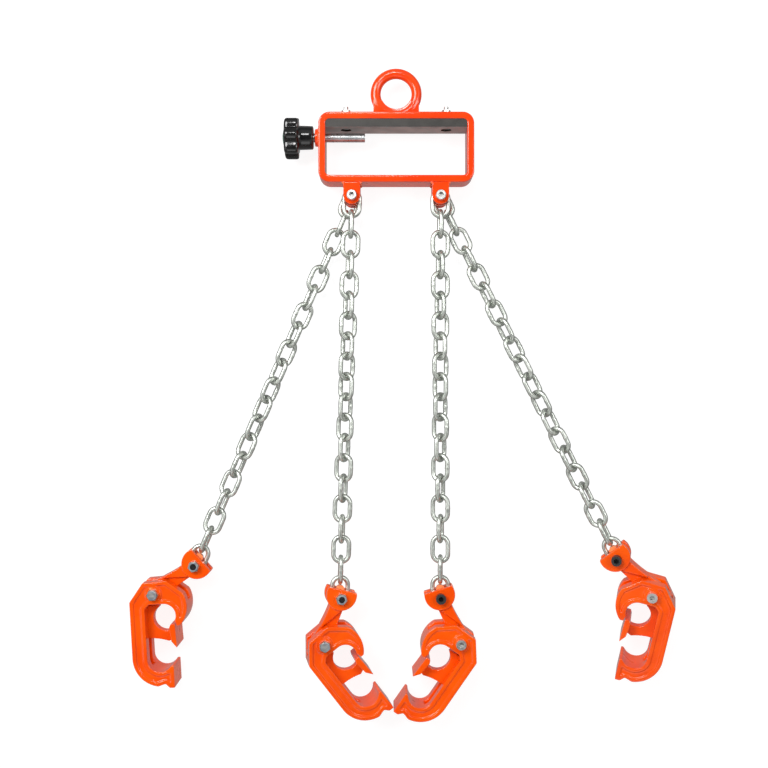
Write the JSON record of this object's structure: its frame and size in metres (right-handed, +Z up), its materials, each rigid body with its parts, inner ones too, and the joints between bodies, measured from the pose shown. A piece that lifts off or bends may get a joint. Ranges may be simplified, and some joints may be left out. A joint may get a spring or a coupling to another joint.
{
  "type": "four leg drum lifting sling",
  "caption": "Lifting sling with a fork sleeve, lifting eye and clamping screw, and chain legs that each end in a self-closing drum rim clamp.",
  "frame": {"origin": "centre of the lifting eye", "axes": "+Y from the clamps to the eye, +Z up from the ground along every bolt, +X to the right"},
  "size_m": [0.7009, 0.8392, 0.0813],
  "materials": {
    "orange_paint": "glossy enamel",
    "zinc_chain": "bright zinc",
    "zinc_bolt": "bright zinc",
    "black_bolt": "black oxide",
    "rubber": "matt",
    "knob_black": "glossy",
    "cap_green": "satin"
  },
  "bodies": {
    "frame": {"fork_sleeve": "orange_paint", "lifting_eye": "orange_paint", "suspension_lugs": "orange_paint", "screw_boss": "orange_paint", "rubber_pad": "rubber", "pad_screws": "zinc_bolt", "pad_nuts": "zinc_bolt", "lug_bolts": "zinc_bolt", "lug_nuts": "zinc_bolt"},
    "stud": {"clamp_stud": "zinc_bolt"},
    "knob": {"star_knob": "knob_black", "knob_cap": "cap_green"},
    "outer_left_top": {"outer_left_top_link": "zinc_chain"},
    "outer_left_run_a": {"outer_left_chain_upper": "zinc_chain"},
    "outer_left_run_b": {"outer_left_chain_lower": "zinc_chain"},
    "outer_left_end": {"outer_left_end_link": "zinc_chain", "outer_left_link_keeper": "orange_paint"},
    "outer_left_lever_body": {"outer_left_lever": "orange_paint", "outer_left_head_bolt": "black_bolt", "outer_left_head_nut": "zinc_bolt"},
    "outer_left_clamp": {"outer_left_clamp_body": "orange_paint", "outer_left_pivot_bolt": "zinc_bolt", "outer_left_pivot_nut": "zinc_bolt"},
    "outer_left_jaw": {"outer_left_sliding_jaw": "orange_paint"},
    "inner_left_top": {"inner_left_top_link": "zinc_chain"},
    "inner_left_run_a": {"inner_left_chain_upper": "zinc_chain"},
    "inner_left_run_b": {"inner_left_chain_lower": "zinc_chain"},
    "inner_left_end": {"inner_left_end_link": "zinc_chain", "inner_left_link_keeper": "orange_paint"},
    "inner_left_lever_body": {"inner_left_lever": "orange_paint", "inner_left_head_bolt": "black_bolt", "inner_left_head_nut": "zinc_bolt"},
    "inner_left_clamp": {"inner_left_clamp_body": "orange_paint", "inner_left_pivot_bolt": "zinc_bolt", "inner_left_pivot_nut": "zinc_bolt"},
    "inner_left_jaw": {"inner_left_sliding_jaw": "orange_paint"},
    "inner_right_top": {"inner_right_top_link": "zinc_chain"},
    "inner_right_run_a": {"inner_right_chain_upper": "zinc_chain"},
    "inner_right_run_b": {"inner_right_chain_lower": "zinc_chain"},
    "inner_right_end": {"inner_right_end_link": "zinc_chain", "inner_right_link_keeper": "orange_paint"},
    "inner_right_lever_body": {"inner_right_lever": "orange_paint", "inner_right_head_bolt": "black_bolt", "inner_right_head_nut": "zinc_bolt"},
    "inner_right_clamp": {"inner_right_clamp_body": "orange_paint", "inner_right_pivot_bolt": "zinc_bolt", "inner_right_pivot_nut": "zinc_bolt"},
    "inner_right_jaw": {"inner_right_sliding_jaw": "orange_paint"},
    "outer_right_top": {"outer_right_top_link": "zinc_chain"},
    "outer_right_run_a": {"outer_right_chain_upper": "zinc_chain"},
    "outer_right_run_b": {"outer_right_chain_lower": "zinc_chain"},
    "outer_right_end": {"outer_right_end_link": "zinc_chain", "outer_right_link_keeper": "orange_paint"},
    "outer_right_lever_body": {"outer_right_lever": "orange_paint", "outer_right_head_bolt": "black_bolt", "outer_right_head_nut": "zinc_bolt"},
    "outer_right_clamp": {"outer_right_clamp_body": "orange_paint", "outer_right_pivot_bolt": "zinc_bolt", "outer_right_pivot_nut": "zinc_bolt"},
    "outer_right_jaw": {"outer_right_sliding_jaw": "orange_paint"}
  },
  "joints": [
    {"name": "clamp_screw_advance", "type": "slide", "parent": "frame", "child": "stud", "axis": [1, 0, 0], "range_m": [-0.05, 0.0018]},
    {"name": "knob_turn", "type": "hinge", "parent": "stud", "child": "knob", "pos_m": [-0.13, -0.0565, 0], "axis": [1, 0, 0], "range_deg": [-10283, 368]},
    {"name": "outer_left_lug_swing", "type": "hinge", "parent": "frame", "child": "outer_left_top", "pos_m": [-0.057, -0.1346, -0.006], "axis": [0, 0, -1], "range_deg": [-2, 9]},
    {"name": "outer_left_top_link_swing", "type": "hinge", "parent": "outer_left_top", "child": "outer_left_run_a", "pos_m": [-0.06444, -0.15208, -0.00555], "axis": [0, 0, -1], "range_deg": [0, 9]},
    {"name": "outer_left_mid_chain_swing", "type": "hinge", "parent": "outer_left_run_a", "child": "outer_left_run_b", "pos_m": [-0.15797, -0.37189, 0.00006], "axis": [0, 0, -1], "range_deg": [-3, 11]},
    {"name": "outer_left_end_link_swing", "type": "hinge", "parent": "outer_left_run_b", "child": "outer_left_end", "pos_m": [-0.2515, -0.5917, 0.00568], "axis": [0, 0, -1], "range_deg": [-5, 15]},
    {"name": "outer_left_lever_swing", "type": "hinge", "parent": "outer_left_end", "child": "outer_left_lever_body", "pos_m": [-0.25894, -0.60918, 0.00613], "axis": [0, 0, -1], "range_deg": [-10, 15]},
    {"name": "outer_left_clamp_swing", "type": "hinge", "parent": "outer_left_lever_body", "child": "outer_left_clamp", "pos_m": [-0.30933, -0.64356, 0.00613], "axis": [0, 0, -1], "range_deg": [0, 64]},
    {"name": "outer_left_jaw_slide", "type": "slide", "parent": "outer_left_clamp", "child": "outer_left_jaw", "axis": [0.0576, -0.9983, 0], "range_m": [0, 0.0211]},
    {"name": "inner_left_lug_swing", "type": "hinge", "parent": "frame", "child": "inner_left_top", "pos_m": [-0.057, -0.1346, 0.011], "axis": [0, 0, -1], "range_deg": [0, 2]},
    {"name": "inner_left_top_link_swing", "type": "hinge", "parent": "inner_left_top", "child": "inner_left_run_a", "pos_m": [-0.05758, -0.15359, 0.01097], "axis": [0, 0, -1], "range_deg": [0, 9]},
    {"name": "inner_left_mid_chain_swing", "type": "hinge", "parent": "inner_left_run_a", "child": "inner_left_run_b", "pos_m": [-0.06488, -0.39243, 0.01056], "axis": [0, 0, -1], "range_deg": [0, 11]},
    {"name": "inner_left_end_link_swing", "type": "hinge", "parent": "inner_left_run_b", "child": "inner_left_end", "pos_m": [-0.07217, -0.63127, 0.01016], "axis": [0, 0, -1], "range_deg": [0, 20]},
    {"name": "inner_left_lever_swing", "type": "hinge", "parent": "inner_left_end", "child": "inner_left_lever_body", "pos_m": [-0.07275, -0.65026, 0.01013], "axis": [-0.1736, 0.0053, -0.9848], "range_deg": [0, 15]},
    {"name": "inner_left_clamp_swing", "type": "hinge", "parent": "inner_left_lever_body", "child": "inner_left_clamp", "pos_m": [-0.09507, -0.70691, 0.01376], "axis": [-0.1736, 0.0053, -0.9848], "range_deg": [0, 64]},
    {"name": "inner_left_jaw_slide", "type": "slide", "parent": "inner_left_clamp", "child": "inner_left_jaw", "axis": [0.5953, -0.7961, -0.1092], "range_m": [0, 0.0211]},
    {"name": "inner_right_lug_swing", "type": "hinge", "parent": "frame", "child": "inner_right_top", "pos_m": [0.057, -0.1346, 0.011], "axis": [0, 0, 1], "range_deg": [0, 2]},
    {"name": "inner_right_top_link_swing", "type": "hinge", "parent": "inner_right_top", "child": "inner_right_run_a", "pos_m": [0.057, -0.1536, 0.01082], "axis": [0, 0, 1], "range_deg": [0, 9]},
    {"name": "inner_right_mid_chain_swing", "type": "hinge", "parent": "inner_right_run_a", "child": "inner_right_run_b", "pos_m": [0.057, -0.39254, 0.00856], "axis": [0, 0, 1], "range_deg": [0, 11]},
    {"name": "inner_right_end_link_swing", "type": "hinge", "parent": "inner_right_run_b", "child": "inner_right_end", "pos_m": [0.057, -0.63148, 0.00631], "axis": [0, 0, 1], "range_deg": [0, 20]},
    {"name": "inner_right_lever_swing", "type": "hinge", "parent": "inner_right_end", "child": "inner_right_lever_body", "pos_m": [0.057, -0.65048, 0.00613], "axis": [0, 0, 1], "range_deg": [0, 15]},
    {"name": "inner_right_clamp_swing", "type": "hinge", "parent": "inner_right_lever_body", "child": "inner_right_clamp", "pos_m": [0.08201, -0.70612, 0.00613], "axis": [0, 0, 1], "range_deg": [0, 64]},
    {"name": "inner_right_jaw_slide", "type": "slide", "parent": "inner_right_clamp", "child": "inner_right_jaw", "axis": [-0.5707, -0.8211, 0], "range_m": [0, 0.0211]},
    {"name": "outer_right_lug_swing", "type": "hinge", "parent": "frame", "child": "outer_right_top", "pos_m": [0.057, -0.1346, -0.006], "axis": [0, 0, 1], "range_deg": [-2, 9]},
    {"name": "outer_right_top_link_swing", "type": "hinge", "parent": "outer_right_top", "child": "outer_right_run_a", "pos_m": [0.06534, -0.15165, -0.00513], "axis": [0, 0, 1], "range_deg": [0, 9]},
    {"name": "outer_right_mid_chain_swing", "type": "hinge", "parent": "outer_right_run_a", "child": "outer_right_run_b", "pos_m": [0.17016, -0.3661, 0.00576], "axis": [0, 0, 1], "range_deg": [-3, 11]},
    {"name": "outer_right_end_link_swing", "type": "hinge", "parent": "outer_right_run_b", "child": "outer_right_end", "pos_m": [0.27499, -0.58056, 0.01666], "axis": [0, 0, 1], "range_deg": [-5, 15]},
    {"name": "outer_right_lever_swing", "type": "hinge", "parent": "outer_right_end", "child": "outer_right_lever_body", "pos_m": [0.28332, -0.59761, 0.01753], "axis": [-0.2615, -0.1301, 0.9564], "range_deg": [-10, 15]},
    {"name": "outer_right_clamp_swing", "type": "hinge", "parent": "outer_right_lever_body", "child": "outer_right_clamp", "pos_m": [0.32722, -0.63949, 0.02384], "axis": [-0.2615, -0.1301, 0.9564], "range_deg": [0, 64]},
    {"name": "outer_right_jaw_slide", "type": "slide", "parent": "outer_right_clamp", "child": "outer_right_jaw", "axis": [-0.1806, -0.9668, -0.1809], "range_m": [0, 0.0211]}
  ],
  "couplings": [
    {"joint": "clamp_screw_advance", "follows": "knob_turn", "m_per_rad": 0.00027852},
    {"joint": "outer_left_jaw_slide", "follows": "outer_left_clamp_swing", "m_per_rad": 0.0188},
    {"joint": "inner_left_jaw_slide", "follows": "inner_left_clamp_swing", "m_per_rad": 0.0188},
    {"joint": "inner_right_jaw_slide", "follows": "inner_right_clamp_swing", "m_per_rad": 0.0188},
    {"joint": "outer_right_jaw_slide", "follows": "outer_right_clamp_swing", "m_per_rad": 0.0188}
  ]
}
